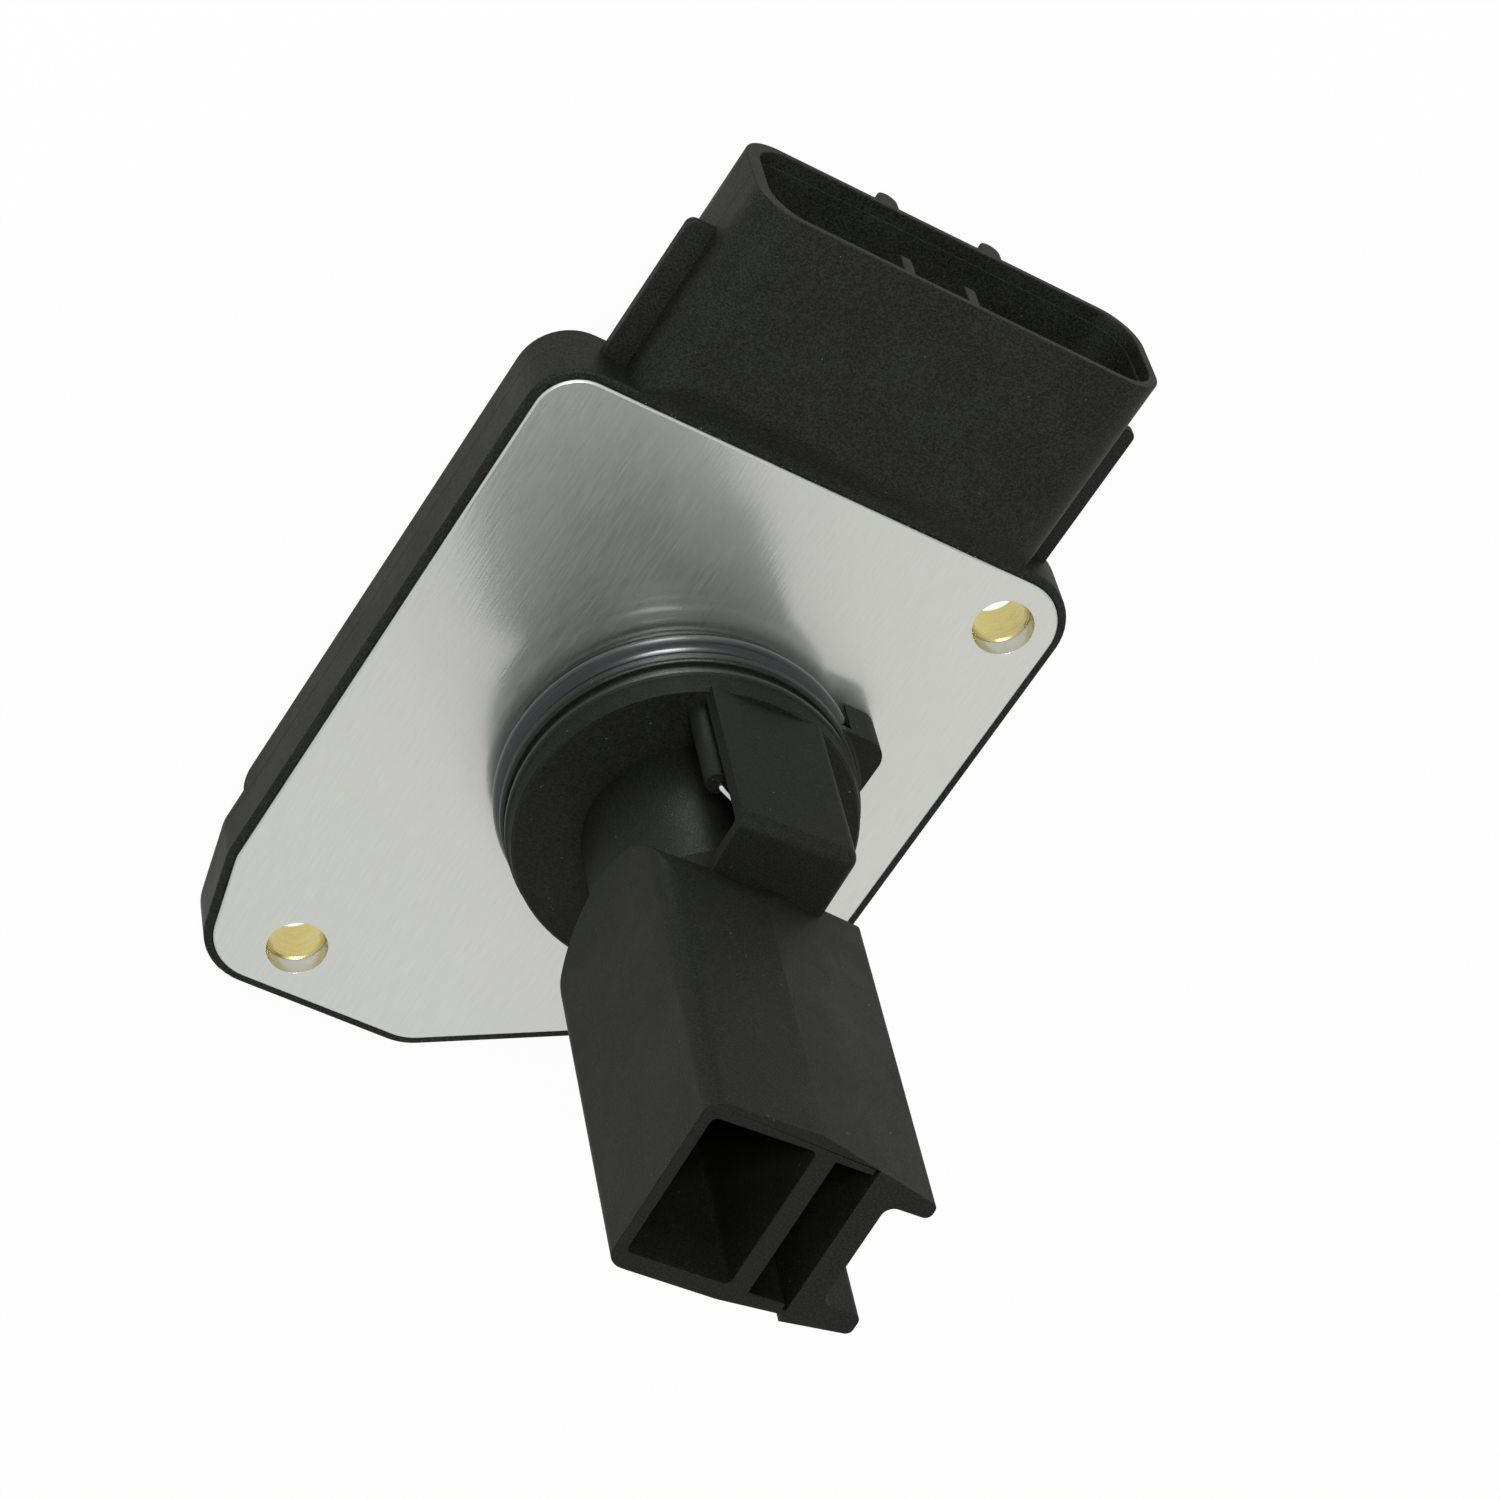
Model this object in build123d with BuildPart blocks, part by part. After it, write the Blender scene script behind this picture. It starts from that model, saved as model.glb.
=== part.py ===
from build123d import *
import os
from math import cos, radians, sin

# Mass airflow sensor of the plug-in kind, in millimetres.
# Origin: the neck's axis in the mounting face, which is the outer face of the base plate.
# +Z is the way the probe points, +Y the way the connector opens, +X across the two.

# Base plate: a stamped aluminium plate with one long corner cut off
plate_width = 48.0
plate_height = 60.55
plate_left = -27.3
plate_top = 28.25
plate_thickness = 1.8
plate_cut_width = 27.0
plate_cut_height = 14.9
plate_tail_width = 2.5
plate_tail_height = 10.1
plate_tail_radius = 4.6
plate_side_radius = 3.0
plate_corner_radius = 3.6
plate_cut_radius = 4.5
plate_edge_break = 0.15

# Fixing screws: M4 through a brass limiter at two opposite corners
screw_margin = 4.42
screw_inset = 8.61
plate_screw_radius = 2.5
bushing_bore_radius = 2.35
bushing_outer_radius = 3.3
bushing_chamfer = 0.15
ear_depth = 5.0
boss_depth = 6.25
boss_radius = 4.6

# Housing: a moulded frame round the plate, deeper behind the electronics
rim_width = 0.75
rim_drop = 0.25
rim_round = 0.3
plate_gap = 0.05
body_depth = 6.45
body_end = -19.1
body_end_round = 1.4
ear_clear_radius = 7.0
box_depth = 11.2
box_left_inset = 3.05
box_right_inset = 3.25
box_top_inset = 2.5
box_end = -16.5
box_radius = 3.0
box_wall = 1.7

# Lid over the electronics, which the sensor lies on
lid_thickness = 1.4
lid_lip_depth = 0.8
lid_lip_width = 1.2
lid_lip_gap = 0.1
lid_edge = 0.4

# Connector shroud: a flat oval socket that opens towards +Y
mouth_y = 47.5
shroud_from_screw = 19.18
shroud_z = -4.75
shroud_width = 36.9
shroud_height = 11.6
shroud_radius = 3.5
shroud_wall = 0.9
shroud_end_wall = 1.15
socket_offset = 0.25
socket_radius = 2.9
socket_depth = 14.5
lead_in_depth = 1.1
lead_in_step = 0.2
foot_length = 3.4
foot_cover = 0.5

# Ribs and lock on the shroud
guide_reach = 2.2
guide_thickness = 0.9
guide_end = 42.1
guide_z = -3.95
guide_round = 0.7
key_width = 1.0
key_height = 2.6
key_setback = 0.2
key_offsets = (-4.85, 1.0)
lock_rib_width = 1.85
lock_rib_height = 1.7
lock_rib_spacing = 9.6
lock_nose_width = 5.0
lock_nose_height = 1.2
lock_nose_length = 3.4
lock_nose_flat = 0.8
lock_nose_setback = 5.5

# Terminals: flat pins in a row
terminal_count = 5
terminal_pitch = 4.2
terminal_width = 1.5
terminal_thickness = 0.64
terminal_reach = 8.5
terminal_tail = 2.4
terminal_tip = 0.2

# Neck: the round spigot that seals in the air duct
neck_radius = 14.1
neck_height = 8.25
neck_base_radius = 13.9
neck_base_height = 0.8
neck_taper = 0.3
neck_taper_height = 1.55
neck_taper_step = 0.12
groove_floor_radius = 12.3
groove_width = 2.8
land_radius = 14.3
land_height = 1.2
relief_radius = 13.8
relief_width = 0.8
neck_edge = 0.2
spigot_radius = 12.2
spigot_gap = 0.05
ring_section_radius = 1.2
ring_squeeze = 0.05

# Locating ear beside the neck
ear_reach_x = 12.3
ear_reach_y = 12.1
ear_start_x = 6.0
ear_start_y = 6.0
ear_height = 4.3
ear_gap = 0.2
ear_round = 1.8

# Probe: a two-cell duct on a round stem, turned a little about the neck's axis
probe_turn = 3.0
stem_radius = 8.37
probe_tip = 56.0
probe_end_height = 28.6
probe_left = -10.05
probe_front = 8.5
probe_back = -7.45
probe_back_crease = -1.0
probe_corner_round = 1.35
probe_crease = -0.9
cell_left = -9.1
cell_back = -5.95
cell_front = 7.05
cell_width = 8.33
cell_wall = 1.67
narrow_width = 3.33
narrow_back = -6.0
narrow_front = 6.75
cell_round = 0.5
cell_floor = 31.0
window_height = 8.0
window_margin = 1.5

# Cover plate that closes the narrow cell, with a channel between two flanges
cover_start = 29.5
cover_outer = 6.32
flange_tip = 9.75
flange_front = 6.05
flange_front_inner = 4.7
flange_back = -6.8
flange_back_root = -7.6
flange_back_step = 0.65
flange_back_inner = -5.0
flange_round = 0.6
flange_root_round = 0.9
joint_depth = 0.5
joint_width = 0.3

# Hood over the air temperature bead
hood_left = -4.9
hood_right = 5.25
hood_outer = 13.2
hood_wall = 1.2
hood_top = 25.6
hood_round = 1.1
hood_end_round = 0.9

# Air temperature bead on two bare leads
post_x = 4.6
post_y = 10.7
post_radius = 0.98
post_height = 9.6
lead_x = 4.35
lead_radius = 0.25
lead_kink = 0.35
lead_bend = 0.8
lead_shoulder = 2.9
bead_rise = 2.2
bead_radius = 1.15
bead_length = 3.2
bead_round = 0.8

# Electronics on the plate's inner face
board_thickness = 1.0
board_gap = 0.5
solder_reach = 0.5
pin_radius = 0.4
pin_offsets = (-7.4, -5.2, -4.2, -2.0)
pin_y = 0.6
pin_top = 42.0
element_height = 7.0
element_thickness = 0.5
element_drop = 0.4
element_edge = 0.2
chip_size = 7.0
chip_height = 1.3
chip_from_side = 9.45
chip_y = 2.0
capacitor_size = (3.2, 1.6, 1.5)
capacitor_places = ((-14.0, 12.0), (-14.0, 8.0), (9.0, 12.0), (-14.0, -8.0))
resistor_size = (2.0, 1.25, 0.6)
resistor_places = ((-8.0, 8.0), (-3.0, 8.0), (2.0, 8.0), (3.0, -9.0), (8.0, -9.0))
wire_width = 0.5
wire_thickness = 0.15
wire_land = 1.3
wire_span = 3.0
wire_rise = 1.0
wire_bend = 0.7

# Values worked out from the sizes above
plate_right = plate_left + plate_width
plate_bottom = plate_top - plate_height
housing_top = plate_top + rim_width
left_screw = (plate_left + screw_inset, plate_bottom + screw_margin)
right_screw = (plate_right - screw_margin, plate_top - screw_margin)
shroud_x = right_screw[0] - shroud_from_screw
shroud_front = shroud_z + shroud_height / 2
shroud_back = shroud_z - shroud_height / 2
shroud_left = shroud_x - shroud_width / 2
socket_x = shroud_x + socket_offset
socket_width = shroud_width - 2 * shroud_end_wall
socket_height = shroud_height - 2 * shroud_wall
socket_floor = mouth_y - socket_depth
box_left = plate_left + box_left_inset
box_right = plate_right - box_right_inset
box_top = plate_top - box_top_inset
box_step_x = right_screw[0] - ear_clear_radius
box_step_y = right_screw[1] - ear_clear_radius
cavity_top = box_top - box_wall
chip_x = box_right - chip_from_side
board_back = -plate_thickness - board_thickness
terminal_back = shroud_z - terminal_thickness / 2
groove_middle = neck_base_height + groove_width / 2
groove_top = neck_base_height + groove_width
land_top = groove_top + land_height
relief_top = land_top + relief_width
taper_start = neck_height - neck_taper_height
ring_outer_radius = groove_floor_radius - ring_squeeze + 2 * ring_section_radius
cell_right = cell_left + cell_width
narrow_left = cell_right + cell_wall
cover_inner = narrow_left + narrow_width
front_slope = (flange_front - probe_front) / (flange_tip - probe_crease)
cover_front = probe_front + front_slope * (cover_inner - probe_crease)
probe_end_radius = (probe_front - flange_back_root) / 2
probe_end_middle = (probe_front + flange_back_root) / 2
post_top = neck_height + post_height
bead_z = post_top + bead_rise
turn_cos = cos(radians(probe_turn))
turn_sin = sin(radians(probe_turn))


def turned(height):
    """Level plane at a height, whose axes are the probe's own."""
    return Plane(origin=(0, 0, height), x_dir=(turn_cos, turn_sin, 0), z_dir=(0, 0, 1))


def turned_side(y):
    """Upright plane at a distance along the probe's Y axis; its own y is up."""
    origin = (-y * turn_sin, y * turn_cos, 0)
    return Plane(origin=origin, x_dir=(turn_cos, turn_sin, 0), z_dir=(turn_sin, -turn_cos, 0))


def turned_end():
    """Upright plane through the neck's axis, square to the probe's X axis."""
    normal = (turn_cos, turn_sin, 0)
    return Plane(origin=(0, 0, 0), x_dir=(-turn_sin, turn_cos, 0), z_dir=normal)


def plate_outline(grow):
    """Outline of the plate, grown evenly by a width."""
    with BuildSketch() as outline:
        with BuildLine():
            FilletPolyline(
                (plate_left, plate_top),
                (plate_right, plate_top),
                (plate_right, plate_bottom + plate_cut_height),
                (plate_right - plate_cut_width, plate_bottom),
                (plate_left + plate_tail_width, plate_bottom),
                (plate_left, plate_bottom + plate_tail_height),
                radius=[
                    plate_corner_radius,
                    screw_margin,
                    plate_cut_radius,
                    plate_cut_radius,
                    plate_tail_radius,
                    plate_side_radius,
                ],
                close=True,
            )
        make_face()
        if grow:
            offset(amount=grow)
    return outline.sketch


def box_outline(shrink):
    """Outline of the electronics box, stepped round the right screw."""
    with BuildSketch() as outline:
        with BuildLine():
            FilletPolyline(
                (box_left, box_end),
                (box_right, box_end),
                (box_right, box_step_y),
                (box_step_x, box_step_y),
                (box_step_x, box_top),
                (box_left, box_top),
                radius=box_radius,
                close=True,
            )
        make_face()
        if shrink:
            offset(amount=-shrink)
    return outline.sketch


def half_round_side():
    """Side view of the probe: a half-round lower end and straight sides up to the tip."""
    with BuildSketch() as side:
        with Locations((probe_end_middle, probe_end_height)):
            Circle(probe_end_radius)
        with Locations((probe_end_middle, (probe_end_height + probe_tip) / 2)):
            Rectangle(2 * probe_end_radius, probe_tip - probe_end_height)
    return side.sketch


# Base plate
with BuildPart() as base_plate:
    with BuildSketch(Plane.XY.offset(-plate_thickness)):
        add(plate_outline(0))
        Circle(spigot_radius + spigot_gap, mode=Mode.SUBTRACT)
        with Locations(left_screw, right_screw):
            Circle(plate_screw_radius, mode=Mode.SUBTRACT)
    extrude(amount=plate_thickness)
    chamfer(base_plate.faces().sort_by(Axis.Z)[-1].outer_wire().edges(), plate_edge_break)
base_plate.part.label = "base_plate"

# Housing with its connector shroud
with BuildPart() as housing:
    # Frame round the plate
    with BuildSketch(Plane.XY.offset(-ear_depth)):
        add(plate_outline(rim_width))
    extrude(amount=ear_depth - rim_drop)
    fillet(housing.faces().sort_by(Axis.Z)[-1].outer_wire().edges(), rim_round)
    # Deeper body, which stops short of both screw ears
    with BuildSketch(Plane.XY.offset(-body_depth)):
        add(plate_outline(rim_width))
        with Locations((0, body_end)):
            Rectangle(
                2 * plate_width,
                plate_height,
                align=(Align.CENTER, Align.MAX),
                mode=Mode.SUBTRACT,
            )
        with Locations(right_screw):
            Circle(ear_clear_radius, mode=Mode.SUBTRACT)
            Rectangle(
                plate_width,
                plate_height,
                align=(Align.MIN, Align.MIN),
                mode=Mode.SUBTRACT,
            )
    extrude(amount=body_depth - ear_depth)
    under = housing.faces().sort_by(Axis.Z)[0].edges().filter_by(Axis.X).sort_by(Axis.Y)
    fillet(under[0], body_end_round)
    # Electronics box
    with BuildSketch(Plane.XY.offset(-box_depth)):
        add(box_outline(0))
    extrude(amount=box_depth - ear_depth)
    # Bosses round the limiters
    with BuildSketch(Plane.XY.offset(-boss_depth)):
        with Locations(left_screw, right_screw):
            Circle(boss_radius)
    extrude(amount=boss_depth - plate_thickness)
    # Connector shroud and the block behind it
    with BuildSketch(Plane.XZ.offset(-mouth_y)):
        with Locations((shroud_x, shroud_z)):
            RectangleRounded(shroud_width, shroud_height, shroud_radius)
    extrude(amount=mouth_y - plate_top)
    with BuildSketch(Plane.XY.offset(shroud_back)):
        with Locations((shroud_left + shroud_radius, cavity_top)):
            Rectangle(
                box_step_x - shroud_left - shroud_radius,
                housing_top - cavity_top,
                align=(Align.MIN, Align.MIN),
            )
    extrude(amount=-shroud_back - ear_depth)
    # Sweep that leads from the rim up to the shroud's front wall
    with BuildSketch(Plane.YZ.offset(shroud_x)):
        with BuildLine():
            Spline(
                (housing_top - foot_cover, -rim_drop),
                (housing_top - foot_cover + foot_length, shroud_front),
                tangents=((1, 0), (1, 0)),
            )
            Polyline(
                (housing_top - foot_cover + foot_length, shroud_front),
                (housing_top - foot_cover + foot_length, shroud_front + rim_width),
                (plate_top - rim_width, shroud_front + rim_width),
                (plate_top - rim_width, -rim_drop),
                (housing_top - foot_cover, -rim_drop),
            )
        make_face()
    extrude(amount=shroud_width, both=True, mode=Mode.SUBTRACT)
    # Guide ribs on both ends of the shroud
    with BuildSketch(Plane.XY.offset(guide_z - guide_thickness / 2)):
        with Locations((shroud_x, guide_end)):
            RectangleRounded(
                shroud_width + 2 * guide_reach,
                guide_end - cavity_top - box_wall,
                guide_round,
                align=(Align.CENTER, Align.MAX),
            )
    extrude(amount=guide_thickness)
    # Socket, a little wider at its mouth
    with BuildSketch(Plane.XZ.offset(-mouth_y)):
        with Locations((socket_x, shroud_z)):
            RectangleRounded(socket_width, socket_height, socket_radius)
    extrude(amount=socket_depth, mode=Mode.SUBTRACT)
    with BuildSketch(Plane.XZ.offset(-mouth_y)):
        with Locations((socket_x, shroud_z)):
            RectangleRounded(
                socket_width + 2 * lead_in_step,
                socket_height + 2 * lead_in_step,
                socket_radius + lead_in_step,
            )
    extrude(amount=lead_in_depth, mode=Mode.SUBTRACT)
    # Coding ribs inside the front wall
    with BuildSketch(Plane.XZ.offset(key_setback - mouth_y)):
        for key_offset in key_offsets:
            with Locations((shroud_x + key_offset, shroud_front - shroud_wall / 2)):
                Rectangle(
                    key_width,
                    key_height + shroud_wall / 2,
                    align=(Align.CENTER, Align.MAX),
                )
    extrude(amount=socket_depth - key_setback)
    # Two rounded ribs and the lock between them, on the shroud's back
    with BuildSketch(Plane.XZ.offset(-mouth_y)):
        with Locations((shroud_x, shroud_back)):
            with GridLocations(lock_rib_spacing, 1, 2, 1):
                SlotCenterToCenter(
                    2 * lock_rib_height - lock_rib_width, lock_rib_width, rotation=90
                )
        with Locations((shroud_x, shroud_z)):
            Rectangle(
                shroud_width - 2 * shroud_radius,
                shroud_height - shroud_wall,
                mode=Mode.SUBTRACT,
            )
    extrude(amount=mouth_y - housing_top)
    with BuildSketch(Plane.YZ.offset(shroud_x - lock_nose_width / 2)):
        with BuildLine():
            lock_end = mouth_y - lock_nose_setback
            lock_start = lock_end - lock_nose_length
            Polyline(
                (lock_start, shroud_back + shroud_wall / 2),
                (lock_start, shroud_back - lock_nose_height),
                (lock_start + lock_nose_flat, shroud_back - lock_nose_height),
                (lock_end, shroud_back),
                (lock_end, shroud_back + shroud_wall / 2),
                close=True,
            )
        make_face()
    extrude(amount=lock_nose_width)
    # Recess for the plate, cavity for the electronics, bores for the limiters
    with BuildSketch(Plane.XY.offset(-plate_thickness)):
        add(plate_outline(plate_gap))
    extrude(amount=plate_thickness, mode=Mode.SUBTRACT)
    with BuildSketch(Plane.XY.offset(-box_depth)):
        add(box_outline(box_wall))
    extrude(amount=box_depth, mode=Mode.SUBTRACT)
    with BuildSketch(Plane.XY.offset(-boss_depth)):
        with Locations(left_screw, right_screw):
            Circle(bushing_outer_radius)
    extrude(amount=boss_depth, mode=Mode.SUBTRACT)
    # Slots that hold the terminals
    with BuildSketch(Plane.XZ.offset(-socket_floor)):
        with Locations((shroud_x, shroud_z)):
            with GridLocations(terminal_pitch, 1, terminal_count, 1):
                Rectangle(terminal_width, terminal_thickness)
    extrude(amount=socket_floor - cavity_top, mode=Mode.SUBTRACT)
housing.part.label = "housing"

# Lid, with a lip inside the box
with BuildPart() as lid:
    with BuildSketch(Plane.XY.offset(-box_depth - lid_thickness)):
        add(box_outline(0))
    extrude(amount=lid_thickness)
    chamfer(lid.faces().sort_by(Axis.Z)[0].outer_wire().edges(), lid_edge)
    with BuildSketch(Plane.XY.offset(-box_depth)):
        add(box_outline(box_wall + lid_lip_gap))
        add(box_outline(box_wall + lid_lip_gap + lid_lip_width), mode=Mode.SUBTRACT)
    extrude(amount=lid_lip_depth)
lid.part.label = "lid"

# Brass limiters
bushings = []
for bushing_name, bushing_place in (
    ("bushing_left", left_screw),
    ("bushing_right", right_screw),
):
    with BuildPart() as bushing:
        with BuildSketch(Plane.XY.offset(-boss_depth)):
            with Locations(bushing_place):
                Circle(bushing_outer_radius)
                Circle(bushing_bore_radius, mode=Mode.SUBTRACT)
        extrude(amount=boss_depth - plate_thickness)
        bore_edges = bushing.edges().filter_by(GeomType.CIRCLE).group_by(SortBy.RADIUS)[0]
        chamfer(bore_edges, bushing_chamfer)
    bushing.part.label = bushing_name
    bushings.append(bushing.part)

# Hood: a wall on the neck's edge and a roof that runs back to the probe
with BuildPart() as hood:
    with BuildSketch(turned_end().offset(hood_left)):
        with BuildLine():
            FilletPolyline(
                (hood_outer, neck_height - neck_edge),
                (hood_outer, hood_top),
                (stem_radius - hood_wall, hood_top),
                (stem_radius - hood_wall, hood_top - hood_wall),
                (hood_outer - hood_wall, hood_top - hood_wall),
                (hood_outer - hood_wall, neck_height - neck_edge),
                radius=[0, hood_round, 0, 0, hood_wall / 3, 0],
                close=True,
            )
        make_face()
    extrude(amount=hood_right - hood_left)
    closed_end = hood.faces().sort_by(Axis.X)[-1].edges()
    outer_edge = closed_end.sort_by(Axis.Y)[-1]
    roof_edge = closed_end.sort_by(Axis.Z)[-1]
    corner_edge = closed_end.filter_by(GeomType.CIRCLE).sort_by(Axis.Z)[-1]
    fillet([outer_edge, corner_edge, roof_edge], hood_end_round)

# Bypass body: probe, stem, neck, hood, posts and locating ear in one moulding
with BuildPart() as bypass_body:
    # Probe with its half-round lower end
    with BuildSketch(turned(probe_end_height - probe_end_radius)):
        with BuildLine():
            FilletPolyline(
                (probe_left, probe_back),
                (probe_back_crease, probe_back),
                (cover_inner, flange_back_root + flange_back_step),
                (cover_inner, flange_back_root),
                (flange_tip, flange_back),
                (flange_tip, flange_front),
                (probe_crease, probe_front),
                (probe_left, probe_front),
                radius=[
                    probe_corner_round,
                    0,
                    0,
                    0,
                    flange_round,
                    flange_round,
                    0,
                    probe_corner_round,
                ],
                close=True,
            )
        make_face()
    extrude(amount=probe_tip - probe_end_height + probe_end_radius)
    with BuildSketch(turned_end()):
        add(half_round_side())
    extrude(amount=2 * flange_tip, both=True, mode=Mode.INTERSECT)
    # Seat of the cover plate
    with BuildSketch(turned(cover_start)):
        with Locations((cover_inner, 0)):
            Rectangle(
                2 * flange_tip,
                4 * probe_front,
                align=(Align.MIN, Align.CENTER),
            )
    extrude(amount=probe_tip, mode=Mode.SUBTRACT)
    # Wide cell, narrow cell and the window that joins them
    with BuildSketch(turned(cell_floor)):
        with Locations((cell_left, cell_back)):
            RectangleRounded(
                cell_width,
                cell_front - cell_back,
                cell_round,
                align=(Align.MIN, Align.MIN),
            )
        with Locations((narrow_left, narrow_back)):
            Rectangle(
                narrow_width,
                narrow_front - narrow_back,
                align=(Align.MIN, Align.MIN),
            )
        with Locations((cover_inner, narrow_back - joint_depth)):
            Rectangle(
                joint_width,
                narrow_front - narrow_back + 2 * joint_depth,
                align=(Align.MAX, Align.MIN),
            )
    extrude(amount=probe_tip, mode=Mode.SUBTRACT)
    with BuildSketch(turned(cell_floor)):
        with Locations((cell_right - cell_round, cell_back + window_margin)):
            Rectangle(
                cell_wall + 2 * cell_round,
                cell_front - cell_back - 2 * window_margin,
                align=(Align.MIN, Align.MIN),
            )
    extrude(amount=window_height, mode=Mode.SUBTRACT)
    # Stem
    with BuildSketch(turned(neck_height)):
        Circle(stem_radius)
    extrude(amount=probe_end_height - probe_end_radius / 2 - neck_height)
    # Neck with its seal groove, and the spigot in the plate
    with BuildSketch(Plane.XZ):
        with BuildLine():
            Polyline(
                (0, -plate_thickness),
                (spigot_radius, -plate_thickness),
                (spigot_radius, 0),
                (neck_base_radius, 0),
                (neck_base_radius, neck_base_height - neck_edge),
                (neck_base_radius - neck_edge, neck_base_height),
                (groove_floor_radius, neck_base_height),
                (groove_floor_radius, groove_top),
                (land_radius - neck_edge, groove_top),
                (land_radius, groove_top + neck_edge),
                (land_radius, land_top - neck_edge),
                (land_radius - neck_edge, land_top),
                (relief_radius, land_top),
                (relief_radius, relief_top),
                (neck_radius - neck_edge, relief_top),
                (neck_radius, relief_top + neck_edge),
                (neck_radius, taper_start),
                (neck_radius - neck_taper_step, taper_start + neck_taper_step),
                (neck_radius - neck_taper, neck_height - neck_edge),
                (neck_radius - neck_taper - neck_edge, neck_height),
                (0, neck_height),
                close=True,
            )
        make_face()
    revolve(axis=Axis.Z)
    # Locating ear: it stands clear of the seal and joins the land above it
    with BuildSketch(Plane.XY):
        with Locations((ear_start_x, ear_start_y)):
            RectangleRounded(
                ear_reach_x - ear_start_x,
                ear_reach_y - ear_start_y,
                ear_round,
                align=(Align.MIN, Align.MIN),
            )
        Circle(ring_outer_radius + ear_gap, mode=Mode.SUBTRACT)
    extrude(amount=ear_height)
    with BuildSketch(Plane.XY.offset(groove_top)):
        with Locations((ear_start_x, ear_start_y)):
            RectangleRounded(
                ear_reach_x - ear_start_x,
                ear_reach_y - ear_start_y,
                ear_round,
                align=(Align.MIN, Align.MIN),
            )
    extrude(amount=ear_height - groove_top)
    add(hood.part)
    # Posts that carry the bead's leads
    with BuildSketch(turned(neck_height)):
        with Locations((-post_x, post_y), (post_x, post_y)):
            Circle(post_radius)
    extrude(amount=post_height)
    # Holes for the leads and the sensing pins
    with BuildSketch(turned(-plate_thickness)):
        with Locations((-lead_x, post_y), (lead_x, post_y)):
            Circle(lead_radius)
    extrude(amount=plate_thickness + post_top, mode=Mode.SUBTRACT)
    with BuildSketch(turned(-plate_thickness)):
        for pin_offset in pin_offsets:
            with Locations((pin_offset, pin_y)):
                Circle(pin_radius)
    extrude(amount=plate_thickness + cell_floor, mode=Mode.SUBTRACT)
bypass_body.part.label = "bypass_body"

# Cover plate on the probe's side
with BuildPart() as bypass_cover:
    with BuildSketch(turned(cover_start)):
        with BuildLine():
            FilletPolyline(
                (cover_inner, flange_back_root),
                (flange_tip, flange_back),
                (flange_tip, flange_back_inner),
                (cover_outer, flange_back_inner),
                (cover_outer, flange_front_inner),
                (flange_tip, flange_front_inner),
                (flange_tip, flange_front),
                (cover_inner, cover_front),
                radius=[
                    0,
                    flange_round,
                    flange_round,
                    flange_root_round,
                    flange_root_round,
                    flange_round,
                    flange_round,
                    0,
                ],
                close=True,
            )
        make_face()
    extrude(amount=probe_tip - cover_start)
bypass_cover.part.label = "bypass_cover"

# Seal in the neck's groove, flattened where it is stretched over the groove's floor
with BuildPart() as o_ring:
    with BuildSketch(Plane.XZ):
        with Locations((ring_outer_radius - ring_section_radius, groove_middle)):
            Circle(ring_section_radius)
        with Locations((0, groove_middle)):
            Rectangle(2 * groove_floor_radius, groove_width, mode=Mode.SUBTRACT)
    revolve(axis=Axis.Z)
o_ring.part.label = "o_ring"

# Circuit board on the plate's inner face
with BuildPart() as circuit_board:
    with BuildSketch(Plane.XY.offset(board_back)):
        add(box_outline(box_wall + board_gap))
    extrude(amount=board_thickness)
    with BuildSketch(turned(board_back)):
        with Locations((-lead_x, post_y), (lead_x, post_y)):
            Circle(lead_radius)
        for pin_offset in pin_offsets:
            with Locations((pin_offset, pin_y)):
                Circle(pin_radius)
    extrude(amount=board_thickness, mode=Mode.SUBTRACT)
circuit_board.part.label = "circuit_board"

# Measuring circuit
with BuildPart() as asic_chip:
    with BuildSketch(Plane.XY.offset(board_back - chip_height)):
        with Locations((chip_x, chip_y)):
            Rectangle(chip_size, chip_size)
    extrude(amount=chip_height)
    chamfer(asic_chip.faces().sort_by(Axis.Z)[0].edges(), element_edge)
asic_chip.part.label = "asic_chip"

small_parts = []
for part_name, part_size, part_places in (
    ("capacitor", capacitor_size, capacitor_places),
    ("resistor", resistor_size, resistor_places),
):
    for number, part_place in enumerate(part_places, start=1):
        with BuildPart() as small_part:
            with BuildSketch(Plane.XY.offset(board_back - part_size[2])):
                with Locations(part_place):
                    Rectangle(part_size[0], part_size[1])
            extrude(amount=part_size[2])
        small_part.part.label = f"{part_name}_{number}"
        small_parts.append(small_part.part)

# Terminals and the wires that join them to the board
terminals = []
for number in range(terminal_count):
    place = shroud_x + (number - (terminal_count - 1) / 2) * terminal_pitch
    with BuildPart() as terminal:
        with BuildSketch(Plane.XZ.offset(-socket_floor - terminal_reach)):
            with Locations((place, shroud_z)):
                Rectangle(terminal_width, terminal_thickness)
        extrude(amount=terminal_reach + socket_floor - cavity_top + terminal_tail)
        chamfer(terminal.faces().sort_by(Axis.Y)[-1].edges(), terminal_tip)
    terminal.part.label = f"terminal_{number + 1}"
    terminals.append(terminal.part)
    with BuildPart() as bond_wire:
        with BuildLine(Plane.YZ.offset(place)) as wire_path:
            wire_start = cavity_top - wire_land
            FilletPolyline(
                (wire_start, terminal_back),
                (wire_start, terminal_back - wire_rise),
                (wire_start - wire_span, terminal_back - wire_rise),
                (wire_start - wire_span, board_back),
                radius=wire_bend,
            )
        with BuildSketch(Plane.XY.offset(terminal_back)):
            with Locations((place, wire_start)):
                Rectangle(wire_width, wire_thickness)
        sweep(path=wire_path.wire())
    bond_wire.part.label = f"bond_wire_{number + 1}"
    terminals.append(bond_wire.part)

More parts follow.
